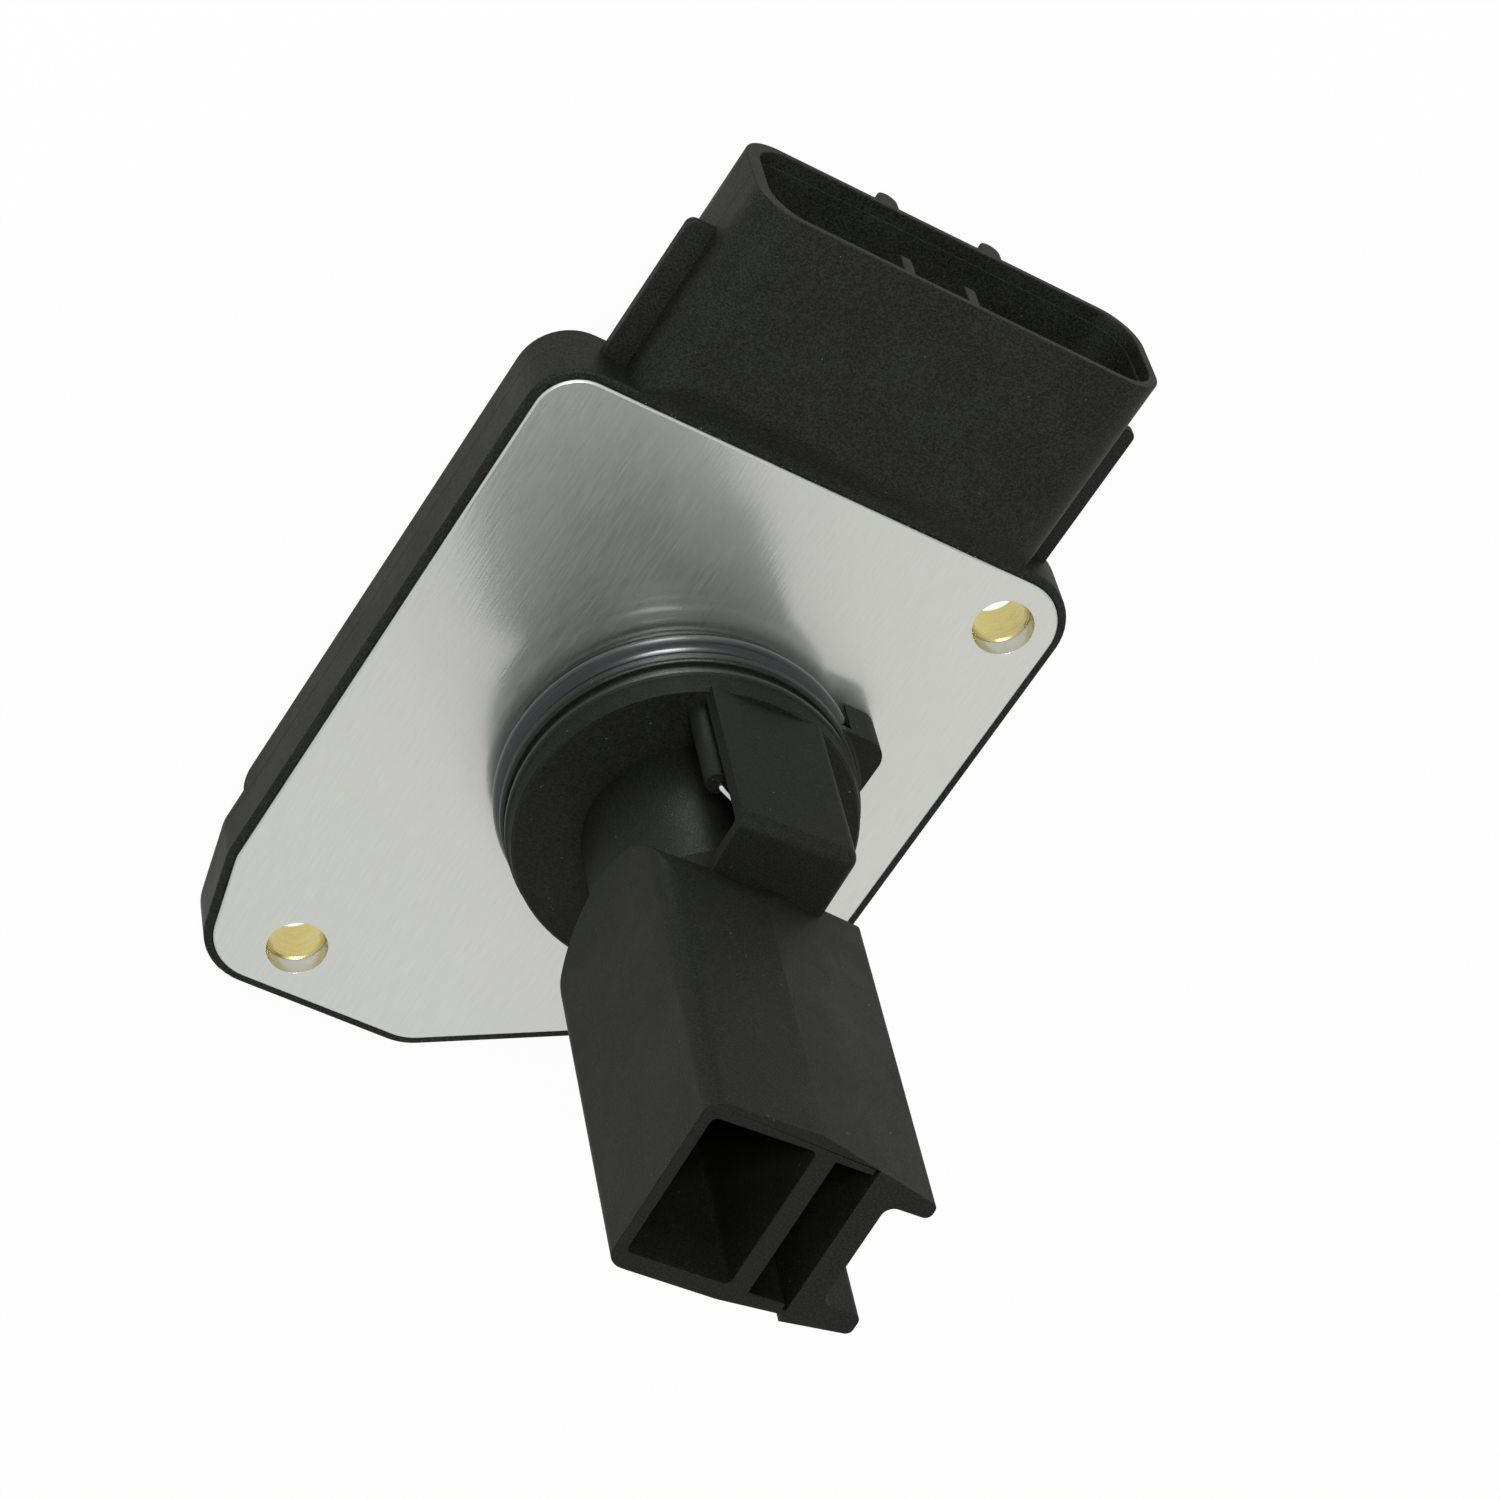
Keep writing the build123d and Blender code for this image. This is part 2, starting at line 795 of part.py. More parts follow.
# Sensing pins, which stand in the wide cell
pins = []
for number, pin_offset in enumerate(pin_offsets, start=1):
    with BuildPart() as sense_pin:
        with BuildSketch(turned(board_back - solder_reach)):
            with Locations((pin_offset, pin_y)):
                Circle(pin_radius)
        extrude(amount=pin_top - board_back + solder_reach)
        # Slot that takes the element's edge
        with BuildSketch(turned(pin_top - element_drop - element_height)):
            for first in (0, 2):
                with Locations((pin_offsets[first], pin_y)):
                    Rectangle(
                        pin_offsets[first + 1] - pin_offsets[first],
                        element_thickness,
                        align=(Align.MIN, Align.CENTER),
                    )
        extrude(amount=element_height, mode=Mode.SUBTRACT)
    sense_pin.part.label = f"sense_pin_{number}"
    pins.append(sense_pin.part)

# Heated element and the element that measures the air, each welded between two pins
elements = []
for element_name, first in (("hot_film_element", 0), ("air_film_element", 2)):
    with BuildPart() as element:
        with BuildSketch(turned(pin_top - element_drop - element_height)):
            with Locations((pin_offsets[first], pin_y)):
                Rectangle(
                    pin_offsets[first + 1] - pin_offsets[first],
                    element_thickness,
                    align=(Align.MIN, Align.CENTER),
                )
        extrude(amount=element_height)
    element.part.label = element_name
    elements.append(element.part)

# Air temperature bead and its two leads
with BuildPart() as thermistor_bead:
    with BuildSketch(turned_side(post_y)):
        with BuildLine():
            FilletPolyline(
                (-bead_length / 2, bead_z),
                (-bead_length / 2, bead_z + bead_radius),
                (bead_length / 2, bead_z + bead_radius),
                (bead_length / 2, bead_z),
                radius=[0, bead_round, bead_round, 0],
                close=True,
            )
        make_face()
    revolve(axis=Axis((-post_y * turn_sin, post_y * turn_cos, bead_z), (turn_cos, turn_sin, 0)))
thermistor_bead.part.label = "thermistor_bead"

leads = []
for number, side in ((1, -1), (2, 1)):
    with BuildPart() as thermistor_lead:
        with BuildLine(turned_side(post_y)) as lead_path:
            FilletPolyline(
                (side * lead_x, board_back - solder_reach),
                (side * lead_x, post_top + lead_kink),
                (side * lead_shoulder, bead_z),
                (side * bead_length / 2, bead_z),
                radius=lead_bend,
            )
        with BuildSketch(turned(board_back - solder_reach)):
            with Locations((side * lead_x, post_y)):
                Circle(lead_radius)
        sweep(path=lead_path.wire())
    thermistor_lead.part.label = f"thermistor_lead_{number}"
    leads.append(thermistor_lead.part)

os.makedirs("parts", exist_ok=True)
export_step(base_plate.part, "parts/base_plate.step")
export_step(housing.part, "parts/housing.step")
export_step(lid.part, "parts/lid.step")
export_step(bypass_body.part, "parts/bypass_body.step")
export_step(bypass_cover.part, "parts/bypass_cover.step")
export_step(o_ring.part, "parts/o_ring.step")
export_step(circuit_board.part, "parts/circuit_board.step")
export_step(asic_chip.part, "parts/asic_chip.step")
export_step(thermistor_bead.part, "parts/thermistor_bead.step")
for piece in bushings + small_parts + terminals + pins + elements + leads:
    export_step(piece, f"parts/{piece.label}.step")
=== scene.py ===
"""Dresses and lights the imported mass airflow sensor, lying on its back with the probe up."""

import logging
import math
from dataclasses import dataclass
from enum import Enum

import bmesh
import bpy
from mathutils import Matrix, Vector


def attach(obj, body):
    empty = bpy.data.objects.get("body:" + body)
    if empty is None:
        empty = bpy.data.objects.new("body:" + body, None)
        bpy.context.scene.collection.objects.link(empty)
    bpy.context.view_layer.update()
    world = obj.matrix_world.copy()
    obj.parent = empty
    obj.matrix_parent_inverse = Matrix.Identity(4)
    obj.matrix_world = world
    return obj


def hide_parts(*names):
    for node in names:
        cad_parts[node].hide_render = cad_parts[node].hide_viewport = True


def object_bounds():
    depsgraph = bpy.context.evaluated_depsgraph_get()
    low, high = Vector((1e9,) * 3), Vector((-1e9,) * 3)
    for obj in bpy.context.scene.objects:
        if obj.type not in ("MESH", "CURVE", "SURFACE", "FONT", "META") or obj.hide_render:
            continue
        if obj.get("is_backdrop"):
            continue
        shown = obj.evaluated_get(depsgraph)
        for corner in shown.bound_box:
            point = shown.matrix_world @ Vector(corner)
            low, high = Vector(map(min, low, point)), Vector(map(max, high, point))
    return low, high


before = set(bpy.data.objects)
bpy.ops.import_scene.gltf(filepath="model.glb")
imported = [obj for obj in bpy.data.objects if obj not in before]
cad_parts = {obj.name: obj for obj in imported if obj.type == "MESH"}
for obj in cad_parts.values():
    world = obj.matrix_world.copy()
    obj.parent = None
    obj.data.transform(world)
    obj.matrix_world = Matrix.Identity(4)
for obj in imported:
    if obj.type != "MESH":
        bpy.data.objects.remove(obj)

MM = 0.001
BODY = "root"
BUMP_STRENGTH = 0.6
NOISE_LOW, NOISE_HIGH = 0.3, 0.7  # nearly all of a noise lies between these
WHITE = (1.0, 1.0, 1.0, 1.0)

Material = bpy.types.Material
Piece = bpy.types.Object
Socket = bpy.types.NodeSocket
Tree = bpy.types.NodeTree
Triple = tuple[float, float, float]

log = logging.getLogger("airflow_sensor")


class Edge(Enum):
    """How far an edge is rounded over, in millimetres."""

    CRISP = 0.03
    MOULDED = 0.1


def linear(hex_colour: str) -> tuple[float, float, float, float]:
    """Turns an sRGB hex colour into linear light.

    Args:
        hex_colour: Six hex digits after a hash.

    Returns:
        Red, green and blue in linear light, and an alpha of 1.
    """
    parts = [int(hex_colour[i : i + 2], 16) / 255 for i in (1, 3, 5)]
    light = [p / 12.92 if p <= 0.04045 else ((p + 0.055) / 1.055) ** 2.4 for p in parts]
    return (light[0], light[1], light[2], 1.0)


def add_node(
    tree: Tree,
    kind: str,
    settings: dict[str, object] | None = None,
    inputs: dict[str | int, object] | None = None,
) -> bpy.types.Node:
    """Adds a node, sets what it is told, and links what comes from another node.

    Args:
        tree: The tree that gets the node.
        kind: Blender's name for the type of node.
        settings: The node's own properties.
        inputs: Values or output sockets for its inputs, by name or by number.

    Returns:
        The new node.
    """
    node = tree.nodes.new(kind)
    for name, value in (settings or {}).items():
        setattr(node, name, value)
    for name, value in (inputs or {}).items():
        socket = node.inputs[name]
        if isinstance(value, Socket):
            tree.links.new(value, socket)
        else:
            socket.default_value = value
    return node


def per_mm(size_mm: float) -> float:
    """The scale of a pattern on metre coordinates whose grain is this many millimetres."""
    return 1.0 / (size_mm * MM)


def start_material(name: str) -> tuple[Material, Tree, Socket]:
    """Starts an empty material.

    Args:
        name: The material's name, which starts with how it was made or what it is made of.

    Returns:
        The material, its tree and its Object coordinates.
    """
    material = bpy.data.materials.new(name)
    material.use_nodes = True
    tree = material.node_tree
    tree.nodes.clear()
    return material, tree, add_node(tree, "ShaderNodeTexCoord").outputs["Object"]


def finish_material(tree: Tree, values: dict[str | int, object]) -> None:
    """Ends a material in one surface shader.

    Args:
        tree: The material's tree.
        values: The shader's inputs.
    """
    surface = add_node(tree, "ShaderNodeBsdfPrincipled", {}, values).outputs["BSDF"]
    add_node(tree, "ShaderNodeOutputMaterial", {}, {"Surface": surface})


def ride_on_root(piece: Piece, slot: str, *replaced: str) -> Piece:
    """Hangs a finished piece on the sensor's one body.

    Args:
        piece: The piece, in place.
        slot: The record's material slot; not used.
        replaced: The solids that it stands for.

    Returns:
        The same piece.
    """
    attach(piece, BODY)
    if replaced:
        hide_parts(*replaced)
    return piece


@dataclass(frozen=True)
class Noise:
    """An even noise: the size of its grain, how many finer layers it has and their strength."""

    size_mm: float
    detail: float
    roughness: float


@dataclass(frozen=True)
class Polish:
    """A polished zone of the tool: within a radius of the neck's axis, up to a height."""

    radius_mm: float
    top_mm: float
    share: float = 1.0
    border_mm: float = 0.1


@dataclass(frozen=True)
class MouldedPbt:
    """Glass-filled PBT, injection moulded in a lightly spark-eroded tool.

    The eye gets a near-black, slightly warm skin with a satin sheen, a fine grain that breaks
    up each highlight, faint clouds where the melt flowed, and rare pale fibre ends. The real
    grain and fibre ends are finer than these, which are drawn just coarse enough to show.
    """

    name: str
    colour: str = "#0a0b07"
    cloud_colour: str = "#202218"
    fibre_colour: str = "#4a4c47"
    tone_range: tuple[float, float] = (0.47, 0.77)
    roughness: float = 0.58
    roughness_swing: float = 0.05
    sheen: float = 0.16
    polished: tuple[Polish, ...] = ()
    polished_roughness: float = 0.3
    polished_sheen: float = 0.3
    grain: Noise = Noise(0.16, 2.0, 0.7)
    grain_depth_mm: float = 0.06
    cloud: Noise = Noise(6.0, 3.0, 0.6)
    cloud_share: float = 0.2
    fibre: Noise = Noise(0.35, 1.0, 0.4)
    fibre_start: float = 0.79
    fibre_full: float = 0.82
    ior: float = 1.53
    seam_z_mm: float | None = None
    seam_half_width_mm: float = 0.07
    seam_depth: float = -3.0
    seam_colour: str = "#060606"

    def build(self) -> Material:
        """Makes the material.

        Returns:
            A material that reads Object coordinates only.
        """
        material, tree, place = start_material(self.name)
        cloud, grain, fibre = (
            add_node(
                tree,
                "ShaderNodeTexNoise",
                {},
                {
                    "Vector": place,
                    "Scale": per_mm(noise.size_mm),
                    "Detail": noise.detail,
                    "Roughness": noise.roughness,
                },
            ).outputs["Fac"]
            for noise in (self.cloud, self.grain, self.fibre)
        )
        fibre_end = add_node(
            tree,
            "ShaderNodeMapRange",
            {},
            {"Value": fibre, "From Min": self.fibre_start, "From Max": self.fibre_full},
        ).outputs["Result"]
        mottle = add_node(
            tree,
            "ShaderNodeMath",
            {"operation": "MULTIPLY_ADD"},
            {0: cloud, 1: self.cloud_share, 2: grain},
        ).outputs[0]
        tone = add_node(
            tree,
            "ShaderNodeMapRange",
            {},
            {"Value": mottle, "From Min": self.tone_range[0], "From Max": self.tone_range[1]},
        ).outputs["Result"]
        colour: object = linear(self.colour)
        for share, over in ((tone, self.cloud_colour), (fibre_end, self.fibre_colour)):
            colour = add_node(
                tree, "ShaderNodeMix", {"data_type": "RGBA"}, {0: share, 6: colour, 7: linear(over)}
            ).outputs[2]
        rough: object = add_node(
            tree,
            "ShaderNodeMapRange",
            {},
            {
                "Value": cloud,
                "From Min": NOISE_LOW,
                "From Max": NOISE_HIGH,
                "To Min": self.roughness - self.roughness_swing,
                "To Max": self.roughness + self.roughness_swing,
            },
        ).outputs["Result"]
        sheen: object = self.sheen
        height = grain
        if self.polished:
            rough, sheen = self.add_polish(tree, place, rough)
        if self.seam_z_mm is not None:
            height, colour = self.add_seam(tree, place, grain, colour)
        bump = add_node(
            tree,
            "ShaderNodeBump",
            {},
            {"Strength": BUMP_STRENGTH, "Distance": self.grain_depth_mm * MM, "Height": height},
        ).outputs["Normal"]
        values = {"Base Color": colour, "Roughness": rough, "Specular IOR Level": sheen}
        finish_material(tree, {**values, "IOR": self.ior, "Normal": bump})
        return material

    def add_polish(self, tree: Tree, place: Socket, rough: object) -> tuple[Socket, Socket]:
        """Smooths the skin where the tool was polished.

        Args:
            tree: The material's tree.
            place: Object coordinates.
            rough: The roughness elsewhere.

        Returns:
            The roughness and the sheen.
        """
        height = add_node(tree, "ShaderNodeSeparateXYZ", {}, {"Vector": place}).outputs["Z"]
        level = add_node(
            tree, "ShaderNodeVectorMath", {"operation": "MULTIPLY"}, {0: place, 1: (1.0, 1.0, 0.0)}
        ).outputs["Vector"]
        away = add_node(
            tree, "ShaderNodeVectorMath", {"operation": "LENGTH"}, {0: level}
        ).outputs["Value"]
        polished: object = 0.0
        for zone in self.polished:
            inside = add_node(
                tree,
                "ShaderNodeMapRange",
                {},
                {
                    "Value": away,
                    "From Min": zone.radius_mm * MM,
                    "From Max": (zone.radius_mm + zone.border_mm) * MM,
                    "To Min": zone.share,
                    "To Max": 0.0,
                },
            ).outputs["Result"]
            below = add_node(
                tree,
                "ShaderNodeMapRange",
                {},
                {
                    "Value": height,
                    "From Min": (zone.top_mm - zone.border_mm) * MM,
                    "From Max": zone.top_mm * MM,
                    "To Min": 1.0,
                    "To Max": 0.0,
                },
            ).outputs["Result"]
            both = add_node(
                tree, "ShaderNodeMath", {"operation": "MULTIPLY"}, {0: inside, 1: below}
            ).outputs[0]
            polished = add_node(
                tree, "ShaderNodeMath", {"operation": "MAXIMUM"}, {0: polished, 1: both}
            ).outputs[0]
        smoother = add_node(
            tree,
            "ShaderNodeMix",
            {"data_type": "FLOAT"},
            {0: polished, 2: rough, 3: self.polished_roughness},
        ).outputs[0]
        brighter = add_node(
            tree,
            "ShaderNodeMapRange",
            {},
            {"Value": polished, "To Min": self.sheen, "To Max": self.polished_sheen},
        ).outputs["Result"]
        return smoother, brighter

    def add_seam(
        self, tree: Tree, place: Socket, height: Socket, colour: object
    ) -> tuple[Socket, Socket]:
        """Draws the fine line where the two halves of the tool met, at one height.

        Args:
            tree: The material's tree.
            place: Object coordinates.
            height: The grain's height.
            colour: The skin's colour.

        Returns:
            The height and the colour, both with the line in them.
        """
        distance = add_node(tree, "ShaderNodeSeparateXYZ", {}, {"Vector": place}).outputs["Z"]
        for operation, other in (("SUBTRACT", self.seam_z_mm * MM), ("ABSOLUTE", 0.0)):
            distance = add_node(
                tree, "ShaderNodeMath", {"operation": operation}, {0: distance, 1: other}
            ).outputs[0]
        line = add_node(
            tree,
            "ShaderNodeMapRange",
            {},
            {
                "Value": distance,
                "From Max": self.seam_half_width_mm * MM,
                "To Min": 1.0,
                "To Max": 0.0,
            },
        ).outputs["Result"]
        lowered = add_node(
            tree,
            "ShaderNodeMath",
            {"operation": "MULTIPLY_ADD"},
            {0: line, 1: self.seam_depth, 2: height},
        ).outputs[0]
        darker = add_node(
            tree,
            "ShaderNodeMix",
            {"data_type": "RGBA"},
            {0: line, 6: colour, 7: linear(self.seam_colour)},
        ).outputs[2]
        return lowered, darker


@dataclass(frozen=True)
class BrushedAluminium:
    """Sheet aluminium, rolled bright and lightly brushed in one direction before it was stamped.

    The eye gets a pale half-matt metal: a clear reflection over a duller one from the oxide
    skin, fine short streaks along Y, and faint clouds where it was handled. Real brushing is
    finer than the streaks, which are drawn just coarse enough to show.
    """

    name: str
    colour: str = "#d3d9d0"
    streak_colour: str = "#c0c6bd"
    roughness: float = 0.44
    roughness_swing: float = 0.05
    film: float = 1.0
    film_roughness: float = 0.14
    film_ior: float = 2.9
    streak_mm: float = 0.22
    streak_length_mm: float = 3.0
    streak_depth_mm: float = 0.016
    streak_detail: float = 3.0
    cloud_mm: float = 8.0
    cloud_detail: float = 4.0
    cloud_share: float = 0.5
    noise_roughness: float = 0.6
    worn_range: tuple[float, float] = (0.45, 1.05)

    def build(self) -> Material:
        """Makes the material.

        Returns:
            A material that reads Object coordinates only.
        """
        material, tree, place = start_material(self.name)
        across, along = per_mm(self.streak_mm), per_mm(self.streak_length_mm)
        stretched = add_node(
            tree, "ShaderNodeMapping", {}, {"Vector": place, "Scale": (across, along, across)}
        ).outputs["Vector"]
        streak, cloud = (
            add_node(
                tree,
                "ShaderNodeTexNoise",
                {},
                {
                    "Vector": vector,
                    "Scale": scale,
                    "Detail": detail,
                    "Roughness": self.noise_roughness,
                },
            ).outputs["Fac"]
            for vector, scale, detail in (
                (stretched, 1.0, self.streak_detail),
                (place, per_mm(self.cloud_mm), self.cloud_detail),
            )
        )
        colour = add_node(
            tree,
            "ShaderNodeMix",
            {"data_type": "RGBA"},
            {0: streak, 6: linear(self.streak_colour), 7: linear(self.colour)},
        ).outputs[2]
        worn = add_node(
            tree,
            "ShaderNodeMath",
            {"operation": "MULTIPLY_ADD"},
            {0: cloud, 1: self.cloud_share, 2: streak},
        ).outputs[0]
        rough = add_node(
            tree,
            "ShaderNodeMapRange",
            {},
            {
                "Value": worn,
                "From Min": self.worn_range[0],
                "From Max": self.worn_range[1],
                "To Min": self.roughness - self.roughness_swing,
                "To Max": self.roughness + self.roughness_swing,
            },
        ).outputs["Result"]
        bump = add_node(
            tree,
            "ShaderNodeBump",
            {},
            {"Strength": BUMP_STRENGTH, "Distance": self.streak_depth_mm * MM, "Height": streak},
        ).outputs["Normal"]
        finish_material(
            tree,
            {
                "Base Color": colour,
                "Metallic": 1.0,
                "Roughness": rough,
                "Coat Weight": self.film,
                "Coat Roughness": self.film_roughness,
                "Coat IOR": self.film_ior,
                "Normal": bump,
                "Coat Normal": bump,
            },
        )
        return material


@dataclass(frozen=True)
class PlainFinish:
    """Any finish whose look is one colour with a fine, uneven surface.

    Turned brass, tinned wire, silicone rubber, glass-fibre laminate, fired ceramic and cast
    epoxy are each one of these, with typical values for that material.
    """

    name: str
    colour: str
    uneven_colour: str
    roughness: float
    roughness_swing: float
    grain_mm: Triple
    grain_depth_mm: float
    metallic: float = 0.0
    ior: float = 1.5
    coat: float = 0.0
    coat_roughness: float = 0.1
    grain_detail: float = 2.0
    grain_roughness: float = 0.55

    def build(self) -> Material:
        """Makes the material.

        Returns:
            A material that reads Object coordinates only.
        """
        material, tree, place = start_material(self.name)
        stretched = add_node(
            tree,
            "ShaderNodeMapping",
            {},
            {"Vector": place, "Scale": tuple(per_mm(size) for size in self.grain_mm)},
        ).outputs["Vector"]
        grain = add_node(
            tree,
            "ShaderNodeTexNoise",
            {},
            {
                "Vector": stretched,
                "Scale": 1.0,
                "Detail": self.grain_detail,
                "Roughness": self.grain_roughness,
            },
        ).outputs["Fac"]
        colour = add_node(
            tree,
            "ShaderNodeMix",
            {"data_type": "RGBA"},
            {0: grain, 6: linear(self.colour), 7: linear(self.uneven_colour)},
        ).outputs[2]
        rough = add_node(
            tree,
            "ShaderNodeMapRange",
            {},
            {
                "Value": grain,
                "From Min": NOISE_LOW,
                "From Max": NOISE_HIGH,
                "To Min": self.roughness - self.roughness_swing,
                "To Max": self.roughness + self.roughness_swing,
            },
        ).outputs["Result"]
        bump = add_node(
            tree,
            "ShaderNodeBump",
            {},
            {"Strength": BUMP_STRENGTH, "Distance": self.grain_depth_mm * MM, "Height": grain},
        ).outputs["Normal"]
        values: dict[str | int, object] = {
            "Base Color": colour,
            "Metallic": self.metallic,
            "Roughness": rough,
            "Normal": bump,
            "Coat Weight": self.coat,
            "Coat Roughness": self.coat_roughness,
        }
        if self.metallic == 0.0:
            values["IOR"] = self.ior
        finish_material(tree, values)
        return material


# Satin black with the palest flow clouds, and a dark parting line round the sides.
HOUSING_PBT = MouldedPbt("moulded_pbt_housing", cloud_colour="#262820", seam_z_mm=-3.95)
# The same plastic from a smoother tool: the flat back shines a little more.
LID_PBT = MouldedPbt("moulded_pbt_lid", roughness=0.5)
# Darker clouds, and a smoother shine on the neck and, weaker, on the stem.
PROBE_PBT = MouldedPbt(
    "moulded_pbt_probe",
    cloud_colour="#1c1e15",
    polished=(Polish(radius_mm=14.5, top_mm=6.3), Polish(radius_mm=8.4, top_mm=22.0, share=0.3)),
)
# The same plastic, with clouds a little paler than the probe's.
COVER_PBT = MouldedPbt("moulded_pbt_cover")
# Plastic whitens where it tears, so the crumbs are grey specks.
FLASH_PBT = PlainFinish(
    "torn_pbt_flash", "#8f928c", "#2a2b29", 0.55, 0.1, (0.3, 0.3, 0.3), 0.01, ior=1.53
)
# The pale half-matt metal that mirrors the neck and the seal.
PLATE_ALUMINIUM = BrushedAluminium("brushed_aluminium")
# Smooth black rubber: a soft highlight runs along the ring.
SILICONE = PlainFinish(
    "silicone_rubber_seal",
    "#0d0d10",
    "#141419",
    0.26,
    0.05,
    (5.0, 5.0, 0.14),
    0.03,
    ior=1.41,
    coat=0.6,
    coat_roughness=0.22,
)
# Pale yellow metal with fine rings across its axis, from the turning tool.
BRASS = PlainFinish(
    "turned_brass", "#e8d892", "#d2c07a", 0.28, 0.07, (1.5, 1.5, 0.08), 0.003, metallic=1.0
)
# Bright white metal, a little clouded.
TIN = PlainFinish(
    "tinned_copper_wire", "#f1f2f2", "#d9dbdc", 0.2, 0.07, (0.3, 0.3, 0.3), 0.006, metallic=1.0
)
# Warm white metal with fine marks along the pin.
TERMINAL_TIN = PlainFinish(
    "tinned_brass_terminal", "#e4e0d0", "#cfc9b4", 0.26, 0.06, (0.1, 2.0, 0.1), 0.002, metallic=1.0
)
# Soft grey-white wire with a half-matt shine.
BOND_ALUMINIUM = PlainFinish(
    "drawn_aluminium_wire", "#dfe0e1", "#cfd0d1", 0.3, 0.05, (0.2, 0.2, 0.2), 0.002, metallic=1.0
)
# Green board with a dull shine and a faint mottle.
LAMINATE = PlainFinish(
    "glass_fibre_laminate", "#2f5a36", "#26492d", 0.42, 0.06, (0.4, 0.4, 0.4), 0.01, ior=1.55
)
# Matt charcoal with a very fine tooth.
CAST_EPOXY = PlainFinish(
    "cast_epoxy_chip", "#1d1d1e", "#262627", 0.5, 0.06, (0.15, 0.15, 0.15), 0.008, ior=1.55
)
# Dark grey and glassy, with a tight highlight.
BEAD_EPOXY = PlainFinish(
    "dipped_epoxy_bead", "#3a3b3d", "#2c2d2f", 0.22, 0.05, (0.8, 0.8, 0.8), 0.01, ior=1.55
)
# Off-white, with the dull shine of an eggshell.
FIRED_CERAMIC = PlainFinish(
    "fired_alumina_film", "#d8d7cf", "#c6c5bc", 0.4, 0.05, (0.3, 0.3, 0.3), 0.004, ior=1.76
)
# Dull brown, with next to no shine.
CAPACITOR_CERAMIC = PlainFinish(
    "fired_barium_titanate", "#8d7a5e", "#7b694f", 0.45, 0.05, (0.2, 0.2, 0.2), 0.004, ior=1.8
)


@dataclass(frozen=True)
class Joint:
    """A plane in which two mouldings meet so closely that no line shows on them."""

    normal: Triple
    distance_mm: float
    reach_mm: float = 0.01

    def holds(self, point: Vector) -> bool:
        """Tells whether a point lies in the plane."""
        return abs(Vector(self.normal).dot(point) - self.distance_mm * MM) < self.reach_mm * MM


@dataclass
class EdgeRounder:
    """Copies a solid, with its hard edges rounded as a mould or a press leaves them."""

    merge_mm: float = 0.002
    flat_angle: float = math.radians(0.04)
    hard_angle: float = math.radians(2.0)
    edge_angle: float = math.radians(28.0)
    segments: int = 2

    def copy(self, node: str, piece: str, edge: Edge, joints: tuple[Joint, ...] = ()) -> Piece:
        """Copies a solid's mesh, joins its flat faces and rounds its edges.

        Args:
            node: The solid's name.
            piece: The new piece's name.
            edge: How far its edges are rounded.
            joints: Planes whose edges stay as they are.

        Returns:
            The new object, not yet riding on anything.
        """
        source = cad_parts[node].data
        mesh = bpy.data.meshes.new(piece)
        mesh.from_pydata(
            [tuple(v.co) for v in source.vertices], [], [tuple(p.vertices) for p in source.polygons]
        )
        shape = bmesh.new()
        shape.from_mesh(mesh)
        facing = shape.loops.layers.float_vector.new("facing")
        for face, polygon in zip(shape.faces, source.polygons):
            for corner, index in zip(face.loops, polygon.loop_indices):
                corner[facing] = source.corner_normals[index].vector
        bmesh.ops.remove_doubles(shape, verts=shape.verts, dist=self.merge_mm * MM)
        self.sort_edges(shape, facing, joints)
        bmesh.ops.dissolve_limit(
            shape,
            angle_limit=self.flat_angle,
            verts=shape.verts,
            edges=shape.edges,
            use_dissolve_boundaries=False,
            delimit={"SHARP"},
        )
        shape.loops.layers.float_vector.remove(shape.loops.layers.float_vector["facing"])
        shape.to_mesh(mesh)
        shape.free()
        made = bpy.data.objects.new(piece, mesh)
        bpy.context.scene.collection.objects.link(made)
        bevel = made.modifiers.new("edge_round", "BEVEL")
        bevel.width = edge.value * MM
        bevel.segments = self.segments
        bevel.limit_method = "WEIGHT"
        bevel.use_clamp_overlap = False
        even = made.modifiers.new("even_light", "WEIGHTED_NORMAL")
        even.keep_sharp = True
        even.weight = 100
        return made

    def sort_edges(
        self, shape: bmesh.types.BMesh, facing: bmesh.types.BMLayerItem, joints: tuple[Joint, ...]
    ) -> None:
        """Marks the edges to round, and those that stay sharp.

        Args:
            shape: The solid, with its doubles merged.
            facing: The layer that holds the true surface's normal at each corner.
            joints: Planes whose edges stay as they are.
        """
        rounded = shape.edges.layers.float.new("bevel_weight_edge")
        for face in shape.faces:
            face.smooth = True
        for line in shape.edges:
            if len(line.link_loops) != 2:
                continue
            first, second = line.link_loops
            turn = max(
                first[facing].angle(second.link_loop_next[facing], 0.0),
                first.link_loop_next[facing].angle(second[facing], 0.0),
            )
            if turn < self.hard_angle:
                continue
            in_joint = any(all(joint.holds(v.co) for v in line.verts) for joint in joints)
            worn = line.is_convex and line.calc_face_angle(0.0) > self.edge_angle
            if worn and not in_joint:
                line[rounded] = 1.0
            else:
                line.smooth = False


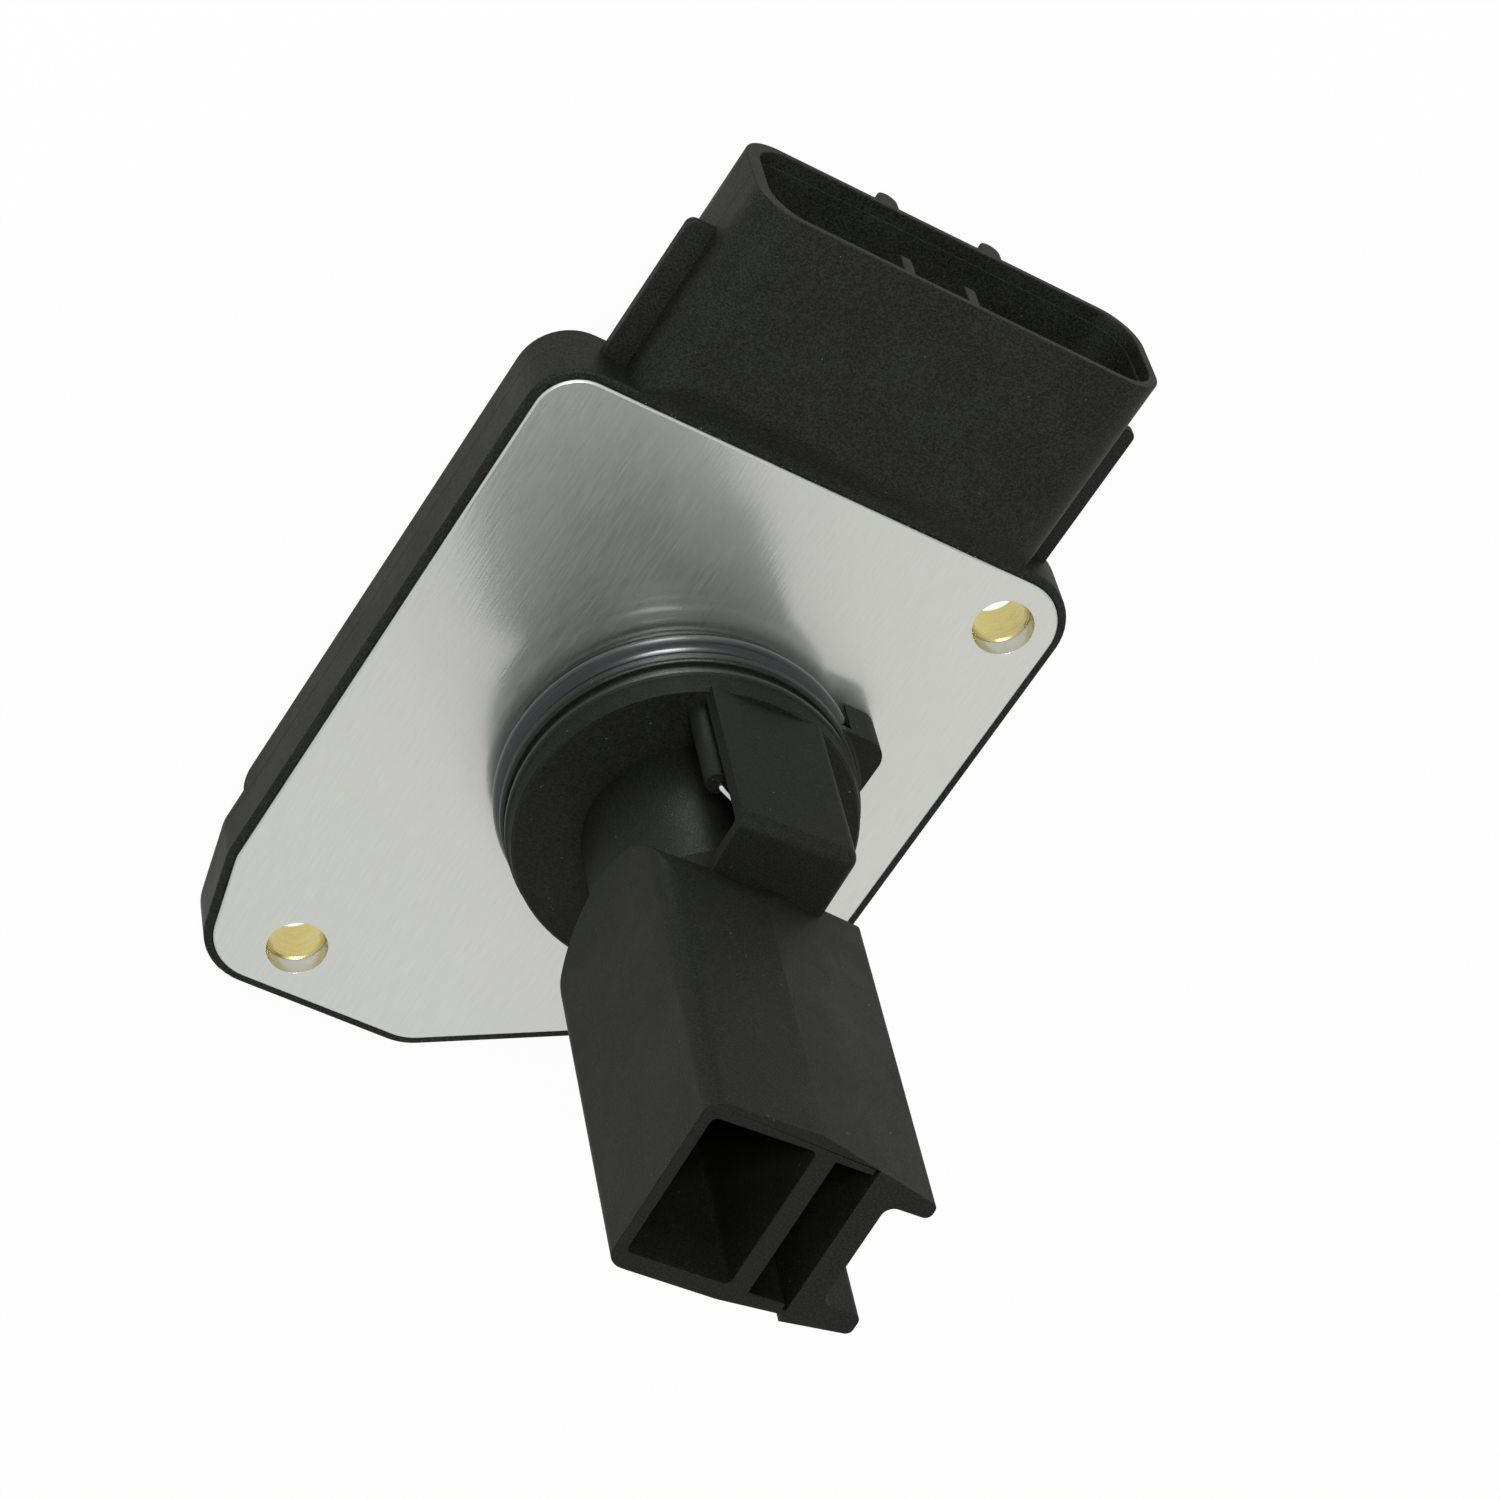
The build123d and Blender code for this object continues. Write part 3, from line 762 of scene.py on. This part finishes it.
class GrownPiece:
    """A Geometry Nodes tree, built here, whose result becomes a plain mesh."""

    def __init__(self, name: str) -> None:
        """Starts an empty tree.

        Args:
            name: The tree's name, and the piece's.
        """
        self.name = name
        self.tree = bpy.data.node_groups.new(name, "GeometryNodeTree")
        self.tree.interface.new_socket(
            name="Geometry", in_out="OUTPUT", socket_type="NodeSocketGeometry"
        )
        self.values: dict[str, object] = {}
        self.given = self.tree.nodes.new("NodeGroupInput")

    def size(self, name: str, kind: str, value: object) -> Socket:
        """Adds a named input.

        Args:
            name: The input's name.
            kind: Its kind, such as Float, Int or Material.
            value: What the piece is made with.

        Returns:
            The input's socket inside the tree.
        """
        made = self.tree.interface.new_socket(
            name=name, in_out="INPUT", socket_type=f"NodeSocket{kind}"
        )
        self.values[made.identifier] = value
        return self.given.outputs[name]

    def grow(self, shape: Socket, material: Material) -> Piece:
        """Ends the tree, runs it and keeps its result as a plain mesh.

        Args:
            shape: What the tree made.
            material: Its finish.

        Returns:
            The piece, with no modifier on it.
        """
        finish = self.size("Finish", "Material", material)
        real = add_node(
            self.tree, "GeometryNodeRealizeInstances", {}, {"Geometry": shape}
        ).outputs["Geometry"]
        dressed = add_node(
            self.tree, "GeometryNodeSetMaterial", {}, {"Geometry": real, "Material": finish}
        ).outputs["Geometry"]
        end = self.tree.nodes.new("NodeGroupOutput")
        self.tree.links.new(dressed, end.inputs["Geometry"])
        piece = bpy.data.objects.new(self.name, bpy.data.meshes.new(f"{self.name}_start"))
        bpy.context.scene.collection.objects.link(piece)
        run = piece.modifiers.new("grow", "NODES")
        run.node_group = self.tree
        for identifier, value in self.values.items():
            run[identifier] = value
        ready = piece.evaluated_get(bpy.context.evaluated_depsgraph_get())
        mesh = bpy.data.meshes.new_from_object(ready)
        piece.modifiers.remove(run)
        piece.data = mesh
        mesh.name = self.name
        return piece


@dataclass
class Shell:
    """The plate, the moulded body with its connector, and the lid on its back."""

    rounder: EdgeRounder

    def dress(self) -> list[Piece]:
        """Builds the shell's visible pieces.

        Returns:
            The pieces, riding on the body.
        """
        plan = (
            ("base_plate", "mounting_plate", Edge.CRISP, PLATE_ALUMINIUM, "plate_metal"),
            ("housing", "moulded_housing", Edge.MOULDED, HOUSING_PBT, "housing_plastic"),
            ("lid", "back_lid", Edge.MOULDED, LID_PBT, "lid_plastic"),
        )
        made = []
        for node, name, edge, finish, slot in plan:
            piece = self.rounder.copy(node, name, edge)
            piece.data.materials.append(finish.build())
            made.append(ride_on_root(piece, slot, node))
        return made


@dataclass
class Probe:
    """The bypass probe with its hood and neck, and its cover plate."""

    rounder: EdgeRounder
    turn: float = math.radians(3.0)
    cover_inner_mm: float = 4.23
    cover_start_mm: float = 29.5
    neck_top_mm: float = 8.25
    neck_edge_mm: float = 0.2

    def dress(self) -> list[Piece]:
        """Builds the probe's visible pieces.

        Returns:
            The pieces, riding on the body.
        """
        side = (math.cos(self.turn), math.sin(self.turn), 0.0)
        heights = (self.cover_start_mm, self.neck_top_mm, self.neck_top_mm - self.neck_edge_mm)
        level = tuple(Joint((0.0, 0.0, 1.0), height) for height in heights)
        joints = (Joint(side, self.cover_inner_mm), *level)
        plan = (
            ("bypass_body", "probe_and_neck", PROBE_PBT, "probe_plastic"),
            ("bypass_cover", "probe_cover", COVER_PBT, "cover_plastic"),
        )
        made = []
        for node, name, finish, slot in plan:
            piece = self.rounder.copy(node, name, Edge.MOULDED, joints)
            piece.data.materials.append(finish.build())
            made.append(ride_on_root(piece, slot, node))
        return made


@dataclass
class SealRing:
    """The silicone ring round the neck, stretched flat against the groove's floor."""

    middle_mm: float = 13.45
    section_mm: float = 1.2
    floor_mm: float = 12.3
    height_mm: float = 2.2
    rounds: int = 240
    section_points: int = 40
    wave_mm: float = 0.012
    wave_length_mm: float = 6.0

    def dress(self) -> list[Piece]:
        """Grows the ring round its path.

        Returns:
            The ring, riding on the body.
        """
        ring = GrownPiece("seal_ring")
        middle = ring.size("Ring radius", "Float", self.middle_mm * MM)
        section = ring.size("Section radius", "Float", self.section_mm * MM)
        floor = ring.size("Groove floor radius", "Float", self.floor_mm * MM)
        height = ring.size("Height", "Float", self.height_mm * MM)
        wave = ring.size("Unevenness", "Float", self.wave_mm * MM)
        rounds = ring.size("Steps round", "Int", self.rounds)
        points = ring.size("Section steps", "Int", self.section_points)
        path, profile = (
            add_node(
                ring.tree,
                "GeometryNodeCurvePrimitiveCircle",
                {},
                {"Resolution": steps, "Radius": radius},
            ).outputs["Curve"]
            for steps, radius in ((rounds, middle), (points, section))
        )
        tube = add_node(
            ring.tree, "GeometryNodeCurveToMesh", {}, {"Curve": path, "Profile Curve": profile}
        ).outputs["Mesh"]
        spot = add_node(ring.tree, "GeometryNodeInputPosition").outputs["Position"]
        level = add_node(
            ring.tree,
            "ShaderNodeVectorMath",
            {"operation": "MULTIPLY"},
            {0: spot, 1: (1.0, 1.0, 0.0)},
        ).outputs["Vector"]
        away = add_node(
            ring.tree, "ShaderNodeVectorMath", {"operation": "LENGTH"}, {0: level}
        ).outputs["Value"]
        unrest = add_node(
            ring.tree,
            "ShaderNodeTexNoise",
            {},
            {"Vector": spot, "Scale": per_mm(self.wave_length_mm), "Detail": 1.0},
        ).outputs["Fac"]
        dip = add_node(
            ring.tree, "ShaderNodeMath", {"operation": "MULTIPLY"}, {0: unrest, 1: wave}
        ).outputs[0]
        share = away
        for operation, other in (("SUBTRACT", dip), ("MAXIMUM", floor), ("DIVIDE", away)):
            share = add_node(
                ring.tree, "ShaderNodeMath", {"operation": operation}, {0: share, 1: other}
            ).outputs[0]
        spread = add_node(
            ring.tree, "ShaderNodeCombineXYZ", {}, {"X": share, "Y": share, "Z": 1.0}
        ).outputs["Vector"]
        raised = add_node(ring.tree, "ShaderNodeCombineXYZ", {}, {"Z": height}).outputs["Vector"]
        moved = add_node(
            ring.tree,
            "ShaderNodeVectorMath",
            {"operation": "MULTIPLY_ADD"},
            {0: spot, 1: spread, 2: raised},
        ).outputs["Vector"]
        placed = add_node(
            ring.tree, "GeometryNodeSetPosition", {}, {"Geometry": tube, "Position": moved}
        ).outputs["Geometry"]
        smooth = add_node(
            ring.tree, "GeometryNodeSetShadeSmooth", {}, {"Geometry": placed}
        ).outputs["Geometry"]
        return [ride_on_root(ring.grow(smooth, SILICONE.build()), "seal_rubber", "o_ring")]


@dataclass
class MouldFlash:
    """Torn crumbs of moulding flash in the gap between the plate's edge and the connector."""

    start_mm: Triple = (-23.5, 28.42, -0.12)
    end_mm: Triple = (15.5, 28.42, -0.12)
    places: int = 90
    kept_share: float = 0.42
    smallest_mm: float = 0.03
    largest_mm: float = 0.11
    scatter_mm: float = 0.12
    scatter_reach: Triple = (4.0, 1.0, 0.6)
    thinnest: Triple = (0.6, 0.3, 0.3)
    fullest: Triple = (1.0, 0.7, 0.7)
    full_turn: Triple = (6.28, 6.28, 6.28)
    seed: int = 7

    def dress(self) -> list[Piece]:
        """Scatters the crumbs along the gap.

        Returns:
            The crumbs as one piece, riding on the body.
        """
        flash = GrownPiece("mould_flash")
        start = flash.size("Start", "Vector", tuple(v * MM for v in self.start_mm))
        end = flash.size("End", "Vector", tuple(v * MM for v in self.end_mm))
        places = flash.size("Places", "Int", self.places)
        kept = flash.size("Share kept", "Float", self.kept_share)
        smallest = flash.size("Smallest crumb", "Float", self.smallest_mm * MM)
        largest = flash.size("Largest crumb", "Float", self.largest_mm * MM)
        scatter = flash.size("Scatter", "Float", self.scatter_mm * MM)
        seed = flash.size("Seed", "Int", self.seed)
        line = add_node(
            flash.tree, "GeometryNodeCurvePrimitiveLine", {}, {"Start": start, "End": end}
        ).outputs["Curve"]
        path = add_node(
            flash.tree,
            "GeometryNodeResampleCurve",
            {"mode": "COUNT"},
            {"Curve": line, "Count": places},
        ).outputs["Curve"]
        spots = add_node(
            flash.tree, "GeometryNodeCurveToPoints", {"mode": "EVALUATED"}, {"Curve": path}
        ).outputs["Points"]
        back = tuple(-v for v in self.scatter_reach)
        draws = (
            ("FLOAT_VECTOR", {0: back, 1: self.scatter_reach}, 0),
            ("BOOLEAN", {"Probability": kept}, 3),
            ("FLOAT_VECTOR", {0: (0.0, 0.0, 0.0), 1: self.full_turn}, 0),
            ("FLOAT_VECTOR", {0: self.thinnest, 1: self.fullest}, 0),
            ("FLOAT", {2: smallest, 3: largest}, 1),
        )
        drawn = []
        for step, (kind, limits, result) in enumerate(draws):
            own_seed = add_node(
                flash.tree, "ShaderNodeMath", {"operation": "ADD"}, {0: seed, 1: float(step)}
            ).outputs[0]
            draw = add_node(
                flash.tree,
                "FunctionNodeRandomValue",
                {"data_type": kind},
                {**limits, "Seed": own_seed},
            )
            drawn.append(draw.outputs[result])
        shake, chosen, turn, swell, reach = drawn
        offset, grown = (
            add_node(
                flash.tree, "ShaderNodeVectorMath", {"operation": "SCALE"}, {0: vector, "Scale": by}
            ).outputs[0]
            for vector, by in ((shake, scatter), (swell, reach))
        )
        strewn = add_node(
            flash.tree, "GeometryNodeSetPosition", {}, {"Geometry": spots, "Offset": offset}
        ).outputs["Geometry"]
        crumb = add_node(
            flash.tree, "GeometryNodeMeshIcoSphere", {}, {"Radius": 1.0, "Subdivisions": 1}
        ).outputs["Mesh"]
        crumbs = add_node(
            flash.tree,
            "GeometryNodeInstanceOnPoints",
            {},
            {
                "Points": strewn,
                "Selection": chosen,
                "Instance": crumb,
                "Rotation": turn,
                "Scale": grown,
            },
        ).outputs["Instances"]
        return [ride_on_root(flash.grow(crumbs, FLASH_PBT.build()), "housing_plastic")]


@dataclass
class TerminalRow:
    """The row of flat pins in the connector, each with a coined tip."""

    count: int = 5
    pitch_mm: float = 4.2
    first_x_mm: float = -11.3
    height_mm: float = -4.75
    width_mm: float = 1.5
    thickness_mm: float = 0.64
    back_mm: float = 21.65
    tip_mm: float = 41.5
    point_length_mm: float = 0.9
    point_share: float = 0.45

    def dress(self) -> list[Piece]:
        """Grows the five pins from one.

        Returns:
            The pins as one piece, riding on the body.
        """
        row = GrownPiece("terminal_row")
        count = row.size("Pins", "Int", self.count)
        pitch = row.size("Pitch", "Float", self.pitch_mm * MM)
        width = row.size("Width", "Float", self.width_mm * MM)
        thickness = row.size("Thickness", "Float", self.thickness_mm * MM)
        back = row.size("Back end", "Float", self.back_mm * MM)
        tip = row.size("Tip", "Float", self.tip_mm * MM)
        point = row.size("Point length", "Float", self.point_length_mm * MM)
        share = row.size("Point share", "Float", self.point_share)
        first = row.size("First pin", "Float", self.first_x_mm * MM)
        height = row.size("Height", "Float", self.height_mm * MM)
        length = tip
        for shorter in (back, point):
            length = add_node(
                row.tree, "ShaderNodeMath", {"operation": "SUBTRACT"}, {0: length, 1: shorter}
            ).outputs[0]
        middle = add_node(
            row.tree,
            "ShaderNodeMath",
            {"operation": "MULTIPLY_ADD"},
            {0: length, 1: 0.5, 2: back},
        ).outputs[0]
        block_size, start, step = (
            add_node(row.tree, "ShaderNodeCombineXYZ", {}, parts).outputs["Vector"]
            for parts in (
                {"X": width, "Y": length, "Z": thickness},
                {"X": first, "Y": middle, "Z": height},
                {"X": pitch},
            )
        )
        block = add_node(
            row.tree, "GeometryNodeMeshCube", {}, {"Size": block_size}
        ).outputs["Mesh"]
        normal = add_node(row.tree, "GeometryNodeInputNormal").outputs["Normal"]
        front = add_node(
            row.tree,
            "ShaderNodeVectorMath",
            {"operation": "DOT_PRODUCT"},
            {0: normal, 1: (0.0, 1.0, 0.0)},
        ).outputs["Value"]
        facing_out = add_node(
            row.tree,
            "FunctionNodeCompare",
            {"data_type": "FLOAT", "operation": "GREATER_THAN"},
            {0: front, 1: 0.5},
        ).outputs["Result"]
        drawn = add_node(
            row.tree,
            "GeometryNodeExtrudeMesh",
            {"mode": "FACES"},
            {"Mesh": block, "Selection": facing_out, "Offset Scale": point, "Individual": False},
        ).outputs
        pointed = add_node(
            row.tree,
            "GeometryNodeScaleElements",
            {},
            {"Geometry": drawn["Mesh"], "Selection": drawn["Top"], "Scale": share},
        ).outputs["Geometry"]
        stations = add_node(
            row.tree,
            "GeometryNodeMeshLine",
            {"mode": "OFFSET"},
            {"Count": count, "Start Location": start, "Offset": step},
        ).outputs["Mesh"]
        pins = add_node(
            row.tree,
            "GeometryNodeInstanceOnPoints",
            {},
            {"Points": stations, "Instance": pointed},
        ).outputs["Instances"]
        nodes = [f"terminal_{number}" for number in range(1, self.count + 1)]
        return [ride_on_root(row.grow(pins, TERMINAL_TIN.build()), "terminal_metal", *nodes)]


@dataclass
class CarriedParts:
    """The solids that stay as they are and get a better finish."""

    def dress(self) -> list[str]:
        """Gives each solid its finish.

        Returns:
            The names of the solids.
        """
        finishes = {
            "bushing": BRASS,
            "circuit": LAMINATE,
            "asic": CAST_EPOXY,
            "resistor": CAST_EPOXY,
            "capacitor": CAPACITOR_CERAMIC,
            "bond": BOND_ALUMINIUM,
            "sense": TIN,
            "hot": FIRED_CERAMIC,
            "air": FIRED_CERAMIC,
            "thermistor_bead": BEAD_EPOXY,
            "thermistor_lead": TIN,
        }
        built = {finish.name: finish.build() for finish in finishes.values()}
        dressed = []
        for name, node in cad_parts.items():
            if node.hide_render:
                continue
            for start, finish in finishes.items():
                if name.startswith(start):
                    for slot in node.material_slots:
                        slot.material = built[finish.name]
                    dressed.append(name)
        return dressed


@dataclass(frozen=True)
class Lamp:
    """A square soft lamp; its radiance is against white at 1, its sizes are in metres."""

    name: str
    place: Triple
    size: float
    radiance: float
    colour: str
    target: Triple = (0.0, 0.0, 0.01)

    def build(self) -> None:
        """Hangs the lamp and turns it to the sensor."""
        data = bpy.data.lights.new(self.name, "AREA")
        data.shape = "SQUARE"
        data.size = self.size
        data.color = linear(self.colour)[:3]
        data.energy = self.radiance * math.pi * self.size * self.size
        lamp = bpy.data.objects.new(self.name, data)
        bpy.context.scene.collection.objects.link(lamp)
        towards = Vector(self.target) - Vector(self.place)
        turn = towards.to_track_quat("-Z", "Y").to_matrix().to_4x4()
        lamp.matrix_world = Matrix.Translation(self.place) @ turn


@dataclass
class Studio:
    """A pale floor, two soft lamps and a pale surround, both white to the camera."""

    floor_z: float
    floor_reach: float = 2.0
    floor_colour: str = "#dcdcda"
    floor_roughness: float = 0.9
    floor_glow: float = 0.96
    # Painted reflection: how strongly the floor glows in glossy rays near the sensor, where it lies
    # in the sensor's shadow.
    mirrored_glow: float = 0.8
    mirrored_start: float = 0.045
    mirrored_end: float = 0.08
    surround: float = 0.7
    surround_colour: str = "#fafcff"
    lamps: tuple[Lamp, ...] = (
        Lamp("key_lamp", (-0.24, 0.41, 0.51), 0.18, 32.8, "#f7f8fa"),
        Lamp("plate_lamp", (0.28, -0.175, 0.55), 0.475, 0.22, "#ffe0d2"),
    )

    def build(self) -> None:
        """Makes the floor, the lamps and the surround."""
        self.build_floor()
        for lamp in self.lamps:
            lamp.build()
        self.build_surround()
        bpy.context.scene.view_settings.view_transform = "Standard"

    def build_floor(self) -> None:
        """Lays a pale floor, white to the camera and, near the sensor, in what mirrors it."""
        corners = ((-1, -1), (1, -1), (1, 1), (-1, 1))
        reach = self.floor_reach
        mesh = bpy.data.meshes.new("floor")
        places = [(x * reach, y * reach, self.floor_z) for x, y in corners]
        mesh.from_pydata(places, [], [(0, 1, 2, 3)])
        floor = bpy.data.objects.new("floor", mesh)
        bpy.context.scene.collection.objects.link(floor)
        material, tree, spot = start_material("studio_paper")
        paper = add_node(
            tree,
            "ShaderNodeBsdfPrincipled",
            {},
            {
                "Base Color": linear(self.floor_colour),
                "Roughness": self.floor_roughness,
                "Specular IOR Level": 0.0,
            },
        ).outputs["BSDF"]
        glow = add_node(
            tree, "ShaderNodeEmission", {}, {"Color": WHITE, "Strength": 1.0}
        ).outputs["Emission"]
        path = add_node(tree, "ShaderNodeLightPath").outputs
        away = add_node(
            tree, "ShaderNodeVectorMath", {"operation": "LENGTH"}, {0: spot}
        ).outputs["Value"]
        # Painted reflection: near the sensor the floor glows in glossy rays, so the floor's shaded
        # part under the sensor shows bright in the brass and the other metal.
        near = add_node(
            tree,
            "ShaderNodeMapRange",
            {},
            {
                "Value": away,
                "From Min": self.mirrored_start,
                "From Max": self.mirrored_end,
                "To Min": self.mirrored_glow,
                "To Max": 0.0,
            },
        ).outputs["Result"]
        painted_reflection_glow = add_node(
            tree, "ShaderNodeMath", {"operation": "MULTIPLY"}, {0: path["Is Glossy Ray"], 1: near}
        ).outputs[0]
        share = add_node(
            tree,
            "ShaderNodeMath",
            {"operation": "MULTIPLY_ADD"},
            {0: path["Is Camera Ray"], 1: self.floor_glow, 2: painted_reflection_glow},
        ).outputs[0]
        mixed = add_node(
            tree, "ShaderNodeMixShader", {}, {0: share, 1: paper, 2: glow}
        ).outputs["Shader"]
        add_node(tree, "ShaderNodeOutputMaterial", {}, {"Surface": mixed})
        mesh.materials.append(material)
        floor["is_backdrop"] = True

    def build_surround(self) -> None:
        """Makes a soft surround that lights the sensor and is white behind it."""
        world = bpy.data.worlds.new("studio_surround")
        world.use_nodes = True
        tree = world.node_tree
        tree.nodes.clear()
        seen = add_node(tree, "ShaderNodeLightPath").outputs["Is Camera Ray"]
        strength = add_node(
            tree,
            "ShaderNodeMapRange",
            {},
            {"Value": seen, "To Min": self.surround, "To Max": 1.0},
        ).outputs["Result"]
        colour = add_node(
            tree,
            "ShaderNodeMix",
            {"data_type": "RGBA"},
            {0: seen, 6: linear(self.surround_colour), 7: WHITE},
        ).outputs[2]
        sky = add_node(
            tree, "ShaderNodeBackground", {}, {"Color": colour, "Strength": strength}
        ).outputs["Background"]
        add_node(tree, "ShaderNodeOutputWorld", {}, {"Surface": sky})
        bpy.context.scene.world = world


@dataclass
class Viewpoint:
    """The photograph's camera, found from the plate's corners, the holes and the mouth."""

    focal_px: float = 4962.69
    image_px: int = 1500
    sensor_mm: float = 36.0
    nearest: float = 0.01
    farthest: float = 20.0
    right: Triple = (0.83946, 0.52351, 0.14572)
    down: Triple = (0.36380, -0.74061, 0.56494)
    ahead: Triple = (0.40367, -0.42123, -0.81216)
    shift_mm: Triple = (-6.15767, 2.08025, 395.09164)

    def build(self) -> None:
        """Makes the camera and hands it to the scene."""
        data = bpy.data.cameras.new("viewpoint")
        data.sensor_width = self.sensor_mm
        data.lens = self.focal_px / self.image_px * self.sensor_mm
        data.clip_start = self.nearest
        data.clip_end = self.farthest
        camera = bpy.data.objects.new("viewpoint", data)
        bpy.context.scene.collection.objects.link(camera)
        right, down, ahead = Vector(self.right), Vector(self.down), Vector(self.ahead)
        x, y, z = self.shift_mm
        place = -(right * x + down * y + ahead * z) * MM
        turn = Matrix((right, -down, -ahead)).transposed().to_4x4()
        camera.matrix_world = Matrix.Translation(place) @ turn
        bpy.context.scene.camera = camera


def main() -> None:
    """Dresses the sensor, then makes the viewpoint and the studio round it."""
    logging.basicConfig(level=logging.INFO, format="%(message)s")
    cad_low, cad_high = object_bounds()
    rounder = EdgeRounder()
    for assembly in (Shell(rounder), Probe(rounder), SealRing(), MouldFlash(), TerminalRow()):
        for piece in assembly.dress():
            log.info("%s: %s", type(assembly).__name__, piece.name)
    log.info("carried: %s", ", ".join(CarriedParts().dress()))
    Viewpoint().build()
    Studio(floor_z=cad_low.z).build()


if __name__ == "__main__":
    main()
